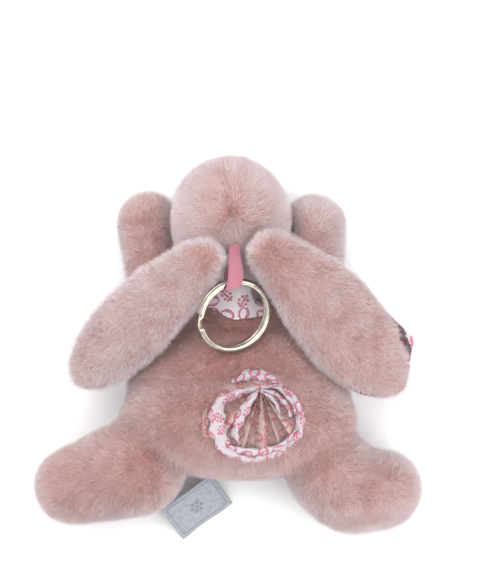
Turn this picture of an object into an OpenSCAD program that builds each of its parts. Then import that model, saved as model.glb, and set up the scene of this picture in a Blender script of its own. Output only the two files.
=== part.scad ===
// Plush rabbit key charm, lying on its belly with its head toward +Y.
// Millimetres, +Z up, origin under the middle of the charm on the surface it lies on.
// Each fur piece is a sewn cover over its own stuffing. Ears, limbs, ribbon, ring and label move.

/* [Head] */
// Width of the head over its fur
head_width = 47.2; // [44:0.2:48]
// Length of the head from nape to brow
head_length = 52; // [50:0.5:53]
// Height of the head
head_height = 48; // [46:0.5:49]

/* [Body] */
// Width of the body across the hips
hip_width = 95; // [92:0.5:96]
// Height of the body over the hips
hip_height = 48.5; // [47:0.5:49]
// Thickness of the fur cover over the stuffing
skin = 2.4; // [1.6:0.2:3]
// Outer radius of the neck seam
neck_r = 9.4; // [8:0.2:9.6]

/* [Limbs] */
// Radius of the left thigh, where it is sewn to the body
left_hip_r = 19.6; // [17:0.2:20]
// Radius of the left foot
left_foot_r = 15; // [13:0.2:16]
// Radius of the right thigh, where it is sewn to the body
right_hip_r = 17.8; // [16:0.2:18.5]
// Radius of the right foot
right_foot_r = 15.4; // [13:0.2:16]
// Radius of the arms at the shoulders
shoulder_r = 11; // [9:0.2:11.6]
// Radius of the left paw
left_paw_r = 12.2; // [11:0.2:12.4]
// Radius of the right paw
right_paw_r = 12.8; // [11:0.2:13]

/* [Ears] */
// Thickness of the fur cover on an ear
ear_skin = 1.8; // [1.2:0.2:2.2]
// Thickness of the printed cotton lining under an ear
lining = 0.8; // [0.6:0.1:1.2]
// Largest half thickness of an ear
ear_half_height = 6.8; // [6:0.1:7]

/* [Ribbon and ring] */
// Outside diameter of the split ring
ring_d = 30; // [29:0.5:30.5]
// Width of the ring's wire, across the ring
wire_w = 2; // [1.6:0.1:2.2]
// Height of one turn of the wire
wire_h = 1.6; // [1.2:0.1:1.7]
// Width of the grosgrain ribbon
ribbon_w = 6; // [5:0.5:6.5]
// Thickness of the doubled ribbon
ribbon_t = 1.2; // [0.8:0.1:1.4]

/* [Tail and label] */
// Outside diameter of the gathered cotton rosette
tail_d = 36; // [34:0.5:38]
// Width of the woven label
label_w = 25; // [20:0.5:26]
// Length of the woven label from its seam
label_l = 18; // [14:0.5:18]

/* [Hidden] */

fur = "#d8a3a3";
fibre = "#f2eee8";
print_cotton = "#e9dcdc";

gap = 0.1;                 // between a cover and its own stuffing
joint_gap = 0.35;          // round a sewn joint that swings
big = 200;

// Head and neck
head_c = [1, 50.5, 28.5];
head_s = [head_width, head_length, head_height] / 2;
muzzle_c = [1, 63, 16];
muzzle_s = [13, 12, 12];
neck_c = [1.5, 24.5];      // X and Z of the neck's axis
neck_y = 27;               // where the head is sewn to the neck
collar_y = 22.6;
cape_c = [4, 14, 14.6];
cape_s = [34, 40, 20.6];
eye_x = 11;
eye_z = 23;
nose_z = 17;
pad_rise = 1.3;

// Body: three overlapping ovals, each a centre and its half sizes
hips = [[4, -28.5, hip_height / 2 - 0.8], [hip_width / 2, 23.5, hip_height / 2]];
waist = [[4.2, -13.5, 20.2], [45, 24, 20.6]];
chest = [[3, 3.5, 18], [24.5, 18.5, 15]];
seam_z = 21;

// Sewn joints and limb ends
left_shoulder = [-27, 11.5, shoulder_r + 3.4];
right_shoulder = [33.5, 11.5, shoulder_r + 3.4];
left_paw = [-33, 52, left_paw_r + 0.1];
right_paw = [35.2, 50.4, right_paw_r + 0.1];
left_hip = [-37, -47, left_hip_r + 0.1];
right_hip = [41.5, -49.5, right_hip_r + 0.1];
left_foot = [-62.6, -54.8, left_foot_r + 0.1];
right_heel_r = 16.5;
right_heel = [48.5, -57, right_heel_r + 0.1];
right_toe = [62.2, -56.2, right_foot_r + 0.1];
seam_hole_r = 7;           // opening of a limb's cover at its seam

// Ears: a centre, half width and half height for each section from root to tip
e = ear_half_height;
left_ear = [
    [[-4, 35.5, 53], 4.5, 4.2], [[-11, 31.7, 52], 9, 5.5], [[-19, 24.7, 48.5], 12, e - 0.5],
    [[-27, 18, 44], 13.8, e], [[-35, 10.6, 39.5], 14.4, e], [[-43, 3.4, 35], 14.2, e],
    [[-50.6, -4, 30], 12.3, e - 0.5], [[-57, -10, 25.8], 8.5, e - 2], [[-60.5, -13.2, 23.6], 2.4, 2.2]];
right_ear = [
    [[11.5, 38.5, 53], 5, 4.2], [[17.5, 34.5, 51.8], 9, 5.5], [[25, 28, 48.5], 11.5, e - 0.5],
    [[31.8, 20.5, 44.5], 14, e], [[38.9, 12.5, 40.8], 15.6, e], [[45.7, 4.7, 37], 16, e],
    [[53.4, -2.2, 33.4], 15.4, e], [[61, -8.8, 29.6], 12.6, e - 0.8], [[66.4, -13.6, 26.6], 8, e - 2.8],
    [[69.4, -16.2, 25], 2.4, 2]];

// Ring: a frame of its own, tilted on the charm's back, with the ribbon at angle ribbon_at
ring_c = [2.4, 11.6, 46.6];
ring_x = [0.678, 0.732, 0.064];
ring_y = [-0.627, 0.531, 0.569];
ring_z = cross(ring_x, ring_y);
ribbon_at = 48.7;
wire_r = ring_d / 2 - wire_w / 2;
jog = 24;                  // degrees over which the wire steps from one turn to the other
fold_c = ring_c + wire_r * (cos(ribbon_at) * ring_x + sin(ribbon_at) * ring_y);
fold_axis = -sin(ribbon_at) * ring_x + cos(ribbon_at) * ring_y;
fold_in = 2.45;
fold_out = fold_in + ribbon_t / 2;
strap_root = [2.8, 37.6, 51];

// Tail
tail_c = [10.6, -28.2, hip_height - 0.5];

// Label: its sewn edge starts at label_c and runs along label_turn
label_c = [-7, -50.3, 11];
label_turn = 216;
label_slope = 36;
label_t = 0.5;

function unit(v) = v / norm(v);
function arc(r, from, to, n) =
    [for (i = [0:n]) let (a = from + (to - from) * i / n) [r * cos(a), r * sin(a)]];

// Turns local X, Y, Z into three given directions at a place
module frame_at(p, x, y, z) {
    multmatrix([[x[0], y[0], z[0], p[0]], [x[1], y[1], z[1], p[1]], [x[2], y[2], z[2], p[2]]])
        children();
}

// Stands local Z along the line from a to b, at a
module along(a, b) {
    d = b - a;
    translate(a) rotate([0, acos(d[2] / norm(d)), atan2(d[1], d[0])]) children();
}

module oval(c, s, d = 0, sides = 96) {
    translate(c) scale([s[0] - d, s[1] - d, s[2] - d]) sphere(r = 1, $fn = sides);
}

// Half-outline, radius against length, of two round ends joined by their tangent
function limb_outline(r1, r2, len) =
    let (lean = asin((r1 - r2) / len))
    concat([for (p = arc(r1, -90, lean, 16)) p], [for (p = arc(r2, lean, 90, 12)) p + [0, len]]);

// A stuffed limb's outer form, d smaller all round
module limb(a, ra, b, rb, d = 0) {
    pts = limb_outline(ra - d, rb - d, norm(b - a));
    along(a, b) rotate_extrude($fn = 96)
        polygon(concat([[0, -(ra - d)]], [for (p = pts) if (p[0] > 0.01) p], [[0, norm(b - a) + rb - d]]));
}

// A sewn limb cover, open at its seam on the side of the body
module limb_cover(a, ra, b, rb) {
    difference() {
        limb(a, ra, b, rb);
        limb(a, ra, b, rb, skin);
        along(a, b) translate([0, 0, -ra - 1]) cylinder(h = ra, r = seam_hole_r, $fn = 64);
    }
}

// Directions of an ear section: along the ear, across it and out of its top
function ear_along(ear, i) =
    unit(ear[min(i + 1, len(ear) - 1)][0] - ear[max(i - 1, 0)][0]);
function ear_across(ear, i) = unit(cross([0, 0, 1], ear_along(ear, i)));
function ear_up(ear, i) = cross(ear_along(ear, i), ear_across(ear, i));
function ear_point(ear, i, w, h, a) =
    ear[i][0] + w * cos(a) * ear_across(ear, i) + h * sin(a) * ear_up(ear, i);

// A solid through rings of points with the same count, closed by flat fans
module loft(rings) {
    n = len(rings[0]);
    m = len(rings);
    polyhedron(
        points = [for (r = rings) each r],
        faces = concat(
            [for (k = [0:m - 2]) for (i = [0:n - 1])
                each let (j = (i + 1) % n, a = k * n, b = a + n)
                    [[a + i, b + i, b + j], [a + i, b + j, a + j]]],
            [for (i = [1:n - 2]) [0, i, i + 1]],
            [for (i = [1:n - 2]) let (b = (m - 1) * n) [b, b + i + 1, b + i]]));
}

// A thin strip between an outer and an inner arc, lofted along the ear
module ear_shell(ear, from, to, out_d, in_d) {
    arc_n = 10;
    step = (to - from) / arc_n;
    n = 2 * (arc_n + 1);
    m = len(ear);
    rings = [for (i = [0:m - 1]) concat(
        [for (k = [0:arc_n])
            ear_point(ear, i, ear[i][1] - out_d, ear[i][2] - out_d, from + step * k)],
        [for (k = [arc_n:-1:0])
            ear_point(ear, i, max(0.2, ear[i][1] - in_d), max(0.2, ear[i][2] - in_d), from + step * k)])];
    polyhedron(
        points = [for (r = rings) each r],
        faces = concat(
            [for (k = [0:m - 2]) for (i = [0:n - 1])
                each let (j = (i + 1) % n, a = k * n, b = a + n)
                    [[a + i, b + i, b + j], [a + i, b + j, a + j]]],
            [for (i = [0:arc_n - 1]) each [[i, i + 1, n - 2 - i], [i, n - 2 - i, n - 1 - i]]],
            [for (i = [0:arc_n - 1]) each let (b = (m - 1) * n)
                [[b + i, b + n - 2 - i, b + i + 1], [b + i, b + n - 1 - i, b + n - 2 - i]]]));
}

module ear_fur(ear) { ear_shell(ear, 2, 178, 0, ear_skin); }
module ear_lining(ear) { ear_shell(ear, 182, 358, 0.2, 0.2 + lining); }
module ear_wadding(ear) {
    sides = 20;
    d = ear_skin + gap;
    loft([for (i = [0:len(ear) - 1]) [for (k = [0:sides - 1])
        ear_point(ear, i, max(0.15, ear[i][1] - d), max(0.15, ear[i][2] - d), 360 * k / sides)]]);
}

// Everything of the body above or below the seam is cut from these forms
module body_form(d = 0) {
    for (o = [hips, waist, chest]) oval(o[0], o[1], d);
    translate([neck_c[0], 8, neck_c[1]]) rotate([-90, 0, 0])
        cylinder(h = neck_y - 8 - d / 4, r = neck_r - d, $fn = 96);
}

module joint_recesses(d = 0) {
    translate(left_shoulder) sphere(r = shoulder_r + joint_gap + d, $fn = 96);
    translate(right_shoulder) sphere(r = shoulder_r + joint_gap + d, $fn = 96);
    translate(left_hip) sphere(r = left_hip_r + joint_gap + d, $fn = 96);
    translate(right_hip) sphere(r = right_hip_r + joint_gap + d, $fn = 96);
}

module below(z) { translate([-big / 2, -big / 2, z - big]) cube([big, big, big]); }
module above(z) { translate([-big / 2, -big / 2, z]) cube([big, big, big]); }

module body_back_panel() {
    color(fur) difference() {
        body_form();
        body_form(skin);
        below(seam_z + gap / 2);
        joint_recesses();
    }
}

module body_belly_panel() {
    color(fur) difference() {
        body_form();
        body_form(skin);
        above(seam_z - gap / 2);
        below(0);
        joint_recesses();
    }
}

module body_stuffing() {
    color(fibre) difference() {
        body_form(skin + gap);
        below(skin);
        joint_recesses(gap);
    }
}

module head_form(d = 0) {
    translate(head_c) scale([head_s[0] - d, head_s[1] - d, head_s[2] - d])
        rotate([90, 0, 0]) sphere(r = 1, $fn = 96);
    oval(muzzle_c, muzzle_s, d);
}

module behind_neck() { translate([-big / 2, neck_y + gap - big, -big / 2]) cube([big, big, big]); }

module head_panel(side) {
    color(fur) difference() {
        head_form();
        head_form(skin);
        behind_neck();
        translate([head_c[0] + (side > 0 ? gap / 2 - big : -gap / 2), -big / 2, -big / 2])
            cube([big, big, big]);
    }
}

module head_left_panel() { head_panel(-1); }
module head_right_panel() { head_panel(1); }

module head_stuffing() {
    color(fibre) difference() {
        head_form(skin + gap);
        behind_neck();
    }
}

// A stitched pad, w wide and h high, on the front of the oval c, s
module stitched_pad(x, z, w, h, c, s) {
    dx = (x - c[0]) / s[0];
    dz = (z - c[2]) / s[2];
    dy = sqrt(1 - dx * dx - dz * dz);
    out = unit([dx / s[0], dy / s[1], dz / s[2]]);
    across = unit(cross(out, [0, 0, 1]));
    difference() {
        frame_at([x, c[1] + dy * s[1], z], across, cross(out, across), out)
            scale([w / 2, h / 2, pad_rise]) sphere(r = 1, $fn = 96);
        oval(head_c, head_s, -gap, 240);
        oval(muzzle_c, muzzle_s, -gap, 240);
    }
}

module left_eye() { color("#2c2022") stitched_pad(head_c[0] - eye_x, eye_z, 4.4, 5.4, head_c, head_s); }
module right_eye() { color("#2c2022") stitched_pad(head_c[0] + eye_x, eye_z, 4.4, 5.4, head_c, head_s); }
module nose() { color("#b76873") stitched_pad(muzzle_c[0], nose_z, 6.8, 4.4, muzzle_c, muzzle_s); }

// Collar: a band of cotton round the neck with a rounded cape over the back of the shoulders
module collar() {
    color(print_cotton) difference() {
        union() {
            translate([neck_c[0], collar_y, neck_c[1]]) rotate([-90, 0, 0])
                cylinder(h = neck_y - 0.4 - collar_y, r = neck_r + 1.3, $fn = 96);
            intersection() {
                difference() {
                    oval(cape_c, cape_s);
                    oval(cape_c, cape_s, 0.9);
                }
                translate([0, 0, neck_c[1] + 4]) linear_extrude(height = 20) cape_outline();
            }
        }
        translate([neck_c[0], 0, neck_c[1]]) rotate([-90, 0, 0])
            cylinder(h = big, r = neck_r + 0.15, $fn = 96);
    }
}

// Rounded at the back, straight along the neck seam
module cape_outline() {
    polygon(concat(
        [for (a = [180:12:360]) [4.5 + 12.5 * cos(a), 18.5 + 10.2 * sin(a)]],
        [[15, neck_y - 0.4], [-7, neck_y - 0.4]]));
}

module tail_base() {
    color(print_cotton) translate(tail_c) cylinder(h = 1, r = 10, $fn = 96);
}

module tail_core() {
    color(print_cotton) translate(tail_c + [0, 0, 1.1]) rotate_extrude($fn = 96)
        polygon([[0, 0], [10, 0], [11.6, 1], [11.6, 2.2], [9.5, 3.4], [5, 4], [0, 4.2]]);
}

module tail_inner_fold() {
    color(print_cotton) translate(tail_c + [-1, 0, 5.4]) rotate([0, 0, 40])
        rotate_extrude(angle = 250, $fn = 96)
            polygon([[4.4, 0], [6, 0], [8.6, 2.6], [7.6, 3.4], [6.4, 3]]);
}

module tail_outer_fold() {
    r = tail_d / 2;
    color(print_cotton) translate(tail_c + [0, 0, 1]) rotate_extrude($fn = 96)
        polygon([[12, 0], [r - 2, -0.6], [r, 1.8], [r - 0.4, 5], [r - 3, 6.4], [14, 5], [12.2, 3]]);
}

module left_ear_fur() { color(fur) ear_fur(left_ear); }
module left_ear_lining() { color(print_cotton) ear_lining(left_ear); }
module left_ear_wadding() { color(fibre) ear_wadding(left_ear); }
module right_ear_fur() { color(fur) ear_fur(right_ear); }
module right_ear_lining() { color(print_cotton) ear_lining(right_ear); }
module right_ear_wadding() { color(fibre) ear_wadding(right_ear); }

module left_arm_cover() { color(fur) limb_cover(left_shoulder, shoulder_r, left_paw, left_paw_r); }
module left_arm_stuffing() {
    color(fibre) limb(left_shoulder, shoulder_r, left_paw, left_paw_r, skin + gap);
}
module right_arm_cover() { color(fur) limb_cover(right_shoulder, shoulder_r, right_paw, right_paw_r); }
module right_arm_stuffing() {
    color(fibre) limb(right_shoulder, shoulder_r, right_paw, right_paw_r, skin + gap);
}

module left_leg_cover() { color(fur) limb_cover(left_hip, left_hip_r, left_foot, left_foot_r); }
module left_leg_stuffing() {
    color(fibre) limb(left_hip, left_hip_r, left_foot, left_foot_r, skin + gap);
}

// The right foot is turned out, so its form runs to a heel and from there to a toe
module bent_leg(d = 0) {
    ends = [[right_hip, right_hip_r], [right_heel, right_heel_r], [right_toe, right_foot_r]];
    for (i = [0, 1])
        hull() for (end = [ends[i], ends[i + 1]])
            translate(end[0]) sphere(r = end[1] - d, $fn = 32);
}

module right_leg_cover() {
    color(fur) difference() {
        bent_leg();
        bent_leg(skin);
        along(right_hip, right_heel) translate([0, 0, -right_hip_r - 1])
            cylinder(h = right_hip_r, r = seam_hole_r, $fn = 64);
    }
}
module right_leg_stuffing() { color(fibre) bent_leg(skin + gap); }

// Ribbon: a doubled strap from the crown seam to the fold that holds the ring
module ribbon_strap() {
    to_root = unit(strap_root - fold_c);
    up = unit(cross(fold_axis, to_root));
    len = norm(strap_root - fold_c);
    color("#d98c9c") frame_at(fold_c, fold_axis, to_root, up)
        translate([-ribbon_w / 2, fold_out + 0.4, -ribbon_t / 2])
            cube([ribbon_w, len - fold_out - 0.4, ribbon_t]);
}

module ribbon_fold() {
    across = cross(fold_axis, [0, 0, 1]);
    color("#d98c9c") frame_at(fold_c, unit(across), cross(fold_axis, unit(across)), fold_axis)
        difference() {
            cylinder(h = ribbon_w, r = fold_out, center = true, $fn = 64);
            cylinder(h = ribbon_w + 1, r = fold_in, center = true, $fn = 64);
        }
}

// Split ring: two flat turns of one wire, joined by a short step
module split_ring() {
    z = wire_h / 2 + 0.02;
    color("#c9c7c2") frame_at(ring_c, ring_x, ring_y, ring_z) {
        rotate([0, 0, 150]) rotate_extrude(angle = 360 - jog, $fn = 128)
            translate([wire_r, z]) wire_section();
        rotate([0, 0, 150 + jog]) rotate_extrude(angle = 360 - jog, $fn = 128)
            translate([wire_r, -z]) wire_section();
        rotate([0, 0, 150 - jog / 2]) rotate_extrude(angle = jog, $fn = 128)
            translate([wire_r, 0]) wire_section();
    }
}

module wire_section() {
    r = 0.3;
    polygon(concat(
        [for (p = arc(r, 0, 90, 3)) p + [wire_w / 2 - r, wire_h / 2 - r]],
        [for (p = arc(r, 90, 180, 3)) p + [-wire_w / 2 + r, wire_h / 2 - r]],
        [for (p = arc(r, 180, 270, 3)) p + [-wire_w / 2 + r, -wire_h / 2 + r]],
        [for (p = arc(r, 270, 360, 3)) p + [wire_w / 2 - r, -wire_h / 2 + r]]));
}

module label() {
    color("#d5d7dc") translate(label_c) rotate([0, 0, label_turn]) rotate([-label_slope, 0, 0])
        translate([0, 0, -label_t / 2]) cube([label_w, label_l, label_t]);
}

body_back_panel();
body_belly_panel();
body_stuffing();
head_left_panel();
head_right_panel();
head_stuffing();
left_eye();
right_eye();
nose();
collar();
tail_base();
tail_core();
tail_inner_fold();
tail_outer_fold();
left_ear_fur();
left_ear_lining();
left_ear_wadding();
right_ear_fur();
right_ear_lining();
right_ear_wadding();
left_arm_cover();
left_arm_stuffing();
right_arm_cover();
right_arm_stuffing();
left_leg_cover();
left_leg_stuffing();
right_leg_cover();
right_leg_stuffing();
ribbon_strap();
ribbon_fold();
split_ring();
label();
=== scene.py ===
import math

import bmesh
import bpy
import numpy as np
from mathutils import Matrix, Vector
from mathutils.bvhtree import BVHTree


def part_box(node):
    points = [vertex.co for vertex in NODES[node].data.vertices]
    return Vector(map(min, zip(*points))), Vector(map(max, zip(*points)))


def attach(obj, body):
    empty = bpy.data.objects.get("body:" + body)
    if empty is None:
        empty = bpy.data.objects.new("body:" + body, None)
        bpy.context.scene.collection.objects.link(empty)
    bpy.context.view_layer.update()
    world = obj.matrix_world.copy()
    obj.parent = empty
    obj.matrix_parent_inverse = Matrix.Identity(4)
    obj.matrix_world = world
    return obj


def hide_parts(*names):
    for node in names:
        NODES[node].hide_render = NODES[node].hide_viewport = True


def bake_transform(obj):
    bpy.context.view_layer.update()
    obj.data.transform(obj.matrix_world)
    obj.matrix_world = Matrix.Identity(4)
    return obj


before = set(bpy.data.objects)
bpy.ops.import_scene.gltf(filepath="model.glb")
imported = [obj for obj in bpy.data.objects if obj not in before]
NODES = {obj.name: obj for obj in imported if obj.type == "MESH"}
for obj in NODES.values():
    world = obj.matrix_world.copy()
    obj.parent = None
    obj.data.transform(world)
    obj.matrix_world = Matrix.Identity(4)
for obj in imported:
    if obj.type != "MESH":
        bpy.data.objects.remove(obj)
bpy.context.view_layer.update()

MM = 0.001
COLL = bpy.context.scene.collection


# ---------------------------------------------------------------- small tools
def vec(*xyz):
    """A point or direction given in millimetres."""
    return np.array(xyz, float) * MM


def unit(v):
    v = np.asarray(v, float)
    return v / np.maximum(np.linalg.norm(v, axis=-1, keepdims=True), 1e-12)


def smoothstep(lo, hi, x):
    t = np.clip((np.asarray(x, float) - lo) / (hi - lo), 0, 1)
    return t * t * (3 - 2 * t)


def _hash(ix, iy, iz, seed):
    h = (ix * 374761393 + iy * 668265263 + iz * 2147483647 + seed * 974711) & 0xFFFFFFFF
    h = ((h ^ (h >> 13)) * 1274126177) & 0xFFFFFFFF
    h = ((h ^ (h >> 16)) * 2246822519) & 0xFFFFFFFF
    return ((h ^ (h >> 15)) & 0xFFFFFF) / float(0xFFFFFF)


def noise(points, cell, seed=0):
    """Smooth value noise from -1 to 1 with features about one cell (metres) across."""
    p = np.asarray(points, float) / cell
    i = np.floor(p).astype(np.int64)
    f = p - i
    f = f * f * (3 - 2 * f)
    total = np.zeros(len(p))
    for dx in (0, 1):
        for dy in (0, 1):
            for dz in (0, 1):
                w = (
                    (f[:, 0] if dx else 1 - f[:, 0])
                    * (f[:, 1] if dy else 1 - f[:, 1])
                    * (f[:, 2] if dz else 1 - f[:, 2])
                )
                total += w * _hash(i[:, 0] + dx, i[:, 1] + dy, i[:, 2] + dz, seed)
    return total * 2 - 1


def new_object(name, mesh, *materials):
    obj = bpy.data.objects.new(name, mesh)
    COLL.objects.link(obj)
    for m in materials:
        mesh.materials.append(m)
    return obj


def mesh_from(name, verts, faces):
    me = bpy.data.meshes.new(name)
    me.from_pydata([tuple(v) for v in verts], [], [tuple(f) for f in faces])
    me.update()
    return me


def applied(obj):
    """Bakes the object's modifiers into its own mesh."""
    dg = bpy.context.evaluated_depsgraph_get()
    me = bpy.data.meshes.new_from_object(obj.evaluated_get(dg), depsgraph=dg)
    old = obj.data
    obj.modifiers.clear()
    obj.data = me
    bpy.data.meshes.remove(old)
    return obj


def smooth(obj):
    obj.data.polygons.foreach_set("use_smooth", [True] * len(obj.data.polygons))
    obj.data.update()
    return obj


def coords(obj):
    co = np.empty(len(obj.data.vertices) * 3)
    obj.data.vertices.foreach_get("co", co)
    return co.reshape(-1, 3)


def normals(obj):
    n = np.empty(len(obj.data.vertices) * 3)
    obj.data.vertices.foreach_get("normal", n)
    return n.reshape(-1, 3)


def set_coords(obj, co):
    obj.data.vertices.foreach_set("co", np.asarray(co, float).ravel())
    obj.data.update()


# ---------------------------------------------------------------- materials
class Nodes:
    """A material whose nodes are added one line at a time."""

    def __init__(self, name):
        self.mat = bpy.data.materials.new(name)
        self.mat.use_nodes = True
        self.tree = self.mat.node_tree
        self.bsdf = self.tree.nodes["Principled BSDF"]

    def add(self, kind, inputs=None, **props):
        n = self.tree.nodes.new(kind)
        for k, v in props.items():
            setattr(n, k, v)
        for k, v in (inputs or {}).items():
            if isinstance(v, bpy.types.NodeSocket):
                self.tree.links.new(v, n.inputs[k])
            else:
                n.inputs[k].default_value = v
        return n

    def position(self, scale=(1, 1, 1), rotation=(0, 0, 0)):
        at = self.add("ShaderNodeTexCoord").outputs["Object"]
        return self.add(
            "ShaderNodeMapping", {"Vector": at, "Scale": scale, "Rotation": rotation}
        ).outputs[0]

    def noise(self, at, scale, detail=3.0, rough=0.5):
        return self.add(
            "ShaderNodeTexNoise",
            {"Vector": at, "Scale": scale, "Detail": detail, "Roughness": rough},
        ).outputs["Fac"]

    def ramp(self, fac, *stops):
        n = self.add("ShaderNodeValToRGB", {"Fac": fac})
        el = n.color_ramp.elements
        while len(el) < len(stops):
            el.new(0.5)
        for e, (pos, col) in zip(el, stops):
            e.position, e.color = pos, tuple(col) + (1,) * (4 - len(col))
        return n.outputs["Color"]

    def mix(self, fac, a, b, how="MIX"):
        n = self.add("ShaderNodeMix", data_type="RGBA", blend_type=how)
        for i, v in ((0, fac), (6, a), (7, b)):
            if isinstance(v, bpy.types.NodeSocket):
                self.tree.links.new(v, n.inputs[i])
            else:
                n.inputs[i].default_value = v if i == 0 else tuple(v) + (1,) * (4 - len(v))
        return n.outputs[2]

    def maths(self, op, a, b=0.0, c=0.0):
        n = self.add("ShaderNodeMath", operation=op)
        for i, v in enumerate((a, b, c)):
            if isinstance(v, bpy.types.NodeSocket):
                self.tree.links.new(v, n.inputs[i])
            else:
                n.inputs[i].default_value = v
        return n.outputs[0]

    def set(self, **sockets):
        for k, v in sockets.items():
            s = self.bsdf.inputs[k.replace("_", " ")]
            if isinstance(v, bpy.types.NodeSocket):
                self.tree.links.new(v, s)
            else:
                s.default_value = v
        return self.mat

    def bump(self, height, distance, strength=1.0):
        n = self.add(
            "ShaderNodeBump", {"Height": height, "Distance": distance, "Strength": strength}
        )
        self.tree.links.new(n.outputs[0], self.bsdf.inputs["Normal"])


def srgb(r, g, b):
    """Linear colour from 0-255 display values."""
    return tuple(
        c / 12.92 if c <= 0.04045 else ((c + 0.055) / 1.055) ** 2.4
        for c in (r / 255, g / 255, b / 255)
    )


def backing_material():
    """The knitted ground of the plush, seen between the fibres."""
    n = Nodes("plush_ground")
    at = n.position()
    patches = n.noise(at, 60, 4)
    tufts = n.noise(at, 700, 3)
    tone = n.maths("MULTIPLY_ADD", tufts, 0.5, n.maths("MULTIPLY", patches, 0.5))
    n.bump(tufts, 0.0006, 0.6)
    return n.set(
        Base_Color=n.ramp(
            tone,
            (0.3, srgb(176, 128, 120)),
            (0.5, srgb(200, 154, 148)),
            (0.7, srgb(216, 176, 172)),
        ),
        Roughness=0.95,
    )


TONES = 9


def fibre_materials():
    """Plush fibres from deep rose to pale: the deep tones are painted shade deep in the pile, the pale ones
    the tips.
    """
    deep, mid, pale = (np.array(srgb(*c)) for c in ((200, 142, 133), (233, 197, 194), (245, 230, 232)))
    mats = []
    for i in range(TONES):
        t = i / (TONES - 1)
        c = deep + (mid - deep) * t * 2 if t < 0.5 else mid + (pale - mid) * (t * 2 - 1)
        n = Nodes("plush_fibre_%d" % i)
        mats.append(
            n.set(
                Base_Color=tuple(c) + (1,),
                Roughness=0.75,
                Sheen_Weight=0.25,
                Sheen_Roughness=0.4,
                Specular_IOR_Level=0.25,
            )
        )
    return mats


PRINT_PITCH = 0.195  # motifs per millimetre, before PRINT_SIZE
PRINT_SIZE = 1.35


def motif_circle(n, x, y, cx, cy, r, stretch=1.0):
    """1 inside a small oval at (cx, cy), in millimetres."""
    dx = n.maths("MULTIPLY", n.maths("SUBTRACT", x, cx), stretch)
    dy = n.maths("SUBTRACT", y, cy)
    squared = n.maths("ADD", n.maths("MULTIPLY", dx, dx), n.maths("MULTIPLY", dy, dy))
    return n.maths("LESS_THAN", squared, r * r)


def print_material(name="printed_cotton", white=srgb(194, 184, 192), ink=srgb(178, 84, 106)):
    """Fine cotton with a small raspberry print of ovals and sprigs. UVs run in millimetres."""
    n = Nodes(name)
    uv = n.add("ShaderNodeTexCoord").outputs["UV"]
    wobble = n.add("ShaderNodeTexNoise", {"Vector": uv, "Scale": 0.9, "Detail": 2.0}).outputs["Color"]
    flat = uv
    uv = n.add("ShaderNodeVectorMath", {0: uv, 1: wobble}, operation="ADD").outputs[0]
    uv = n.add("ShaderNodeMapping", {"Vector": uv, "Scale": (1 / PRINT_SIZE, 1 / PRINT_SIZE, 1.0)}).outputs[0]
    cells = n.add(
        "ShaderNodeTexVoronoi",
        {"Vector": uv, "Scale": PRINT_PITCH, "Randomness": 0.45},
        voronoi_dimensions="2D",
    )
    local = n.add(
        "ShaderNodeVectorMath", {0: uv, 1: cells.outputs["Position"]}, operation="SUBTRACT"
    ).outputs[0]
    pick = n.add("ShaderNodeSeparateColor", {"Color": cells.outputs["Color"]})
    turned = n.add(
        "ShaderNodeVectorRotate",
        {"Vector": local, "Angle": n.maths("MULTIPLY", pick.outputs[1], 6.283)},
        rotation_type="Z_AXIS",
    ).outputs[0]
    xy = n.add("ShaderNodeSeparateXYZ", {"Vector": turned})
    x, y = xy.outputs[0], xy.outputs[1]
    ring = n.maths(
        "SUBTRACT", motif_circle(n, x, y, 0, 0, 2.3, 1.25), motif_circle(n, x, y, 0.15, 0, 1.75, 1.9)
    )
    wide = n.maths("ABSOLUTE", x)
    sprig = motif_circle(n, wide, y, 0.0, 2.0, 0.55)
    for cx, cy, r in ((0.95, 1.05, 0.52), (1.2, -0.3, 0.5), (0.0, -1.8, 0.5), (0.8, -1.4, 0.42)):
        sprig = n.maths("MAXIMUM", sprig, motif_circle(n, wide, y, cx, cy, r))
    sprig = n.maths("MAXIMUM", sprig, motif_circle(n, wide, y, 0.0, 0.1, 1.9, 6.0))
    round_one = n.maths("GREATER_THAN", pick.outputs[0], 0.5)
    other_one = n.maths("SUBTRACT", 1.0, round_one)
    ink_at = n.maths("ADD", n.maths("MULTIPLY", ring, round_one), n.maths("MULTIPLY", sprig, other_one))
    worn = n.noise(uv, 1.6, 3)
    warmer = tuple(c * w for c, w in zip(white, (0.95, 0.92, 0.89)))
    colour = n.mix(
        n.maths("MULTIPLY", ink_at, n.maths("MULTIPLY_ADD", worn, 0.6, 0.55)),
        n.ramp(n.noise(uv, 0.12, 3), (0.3, warmer), (0.7, white)),
        ink,
    )
    warp = n.add("ShaderNodeTexWave", {"Vector": flat, "Scale": 1.1}, bands_direction="X").outputs["Fac"]
    weft = n.add("ShaderNodeTexWave", {"Vector": flat, "Scale": 1.1}, bands_direction="Y").outputs["Fac"]
    n.bump(n.maths("ADD", warp, weft), 0.00006, 0.5)
    return n.set(Base_Color=colour, Roughness=0.8, Sheen_Weight=0.15, Specular_IOR_Level=0.3)


def ribbon_material():
    n = Nodes("grosgrain")
    uv = n.add("ShaderNodeTexCoord").outputs["UV"]
    ribs = n.add(
        "ShaderNodeTexWave",
        {"Vector": uv, "Scale": 1.0, "Distortion": 0.4, "Detail": 1.0, "Detail Scale": 2.0},
        bands_direction="X",
    ).outputs["Fac"]
    n.bump(ribs, 0.00025, 0.9)
    return n.set(
        # The ribs' hollows are coloured darker than their crests: painted shade in the grooves, on top of the
        # rib bump.
        Base_Color=n.ramp(ribs, (0.15, srgb(156, 84, 102)), (0.75, srgb(203, 132, 147))),
        Roughness=0.55,
        Sheen_Weight=0.3,
    )


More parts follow.
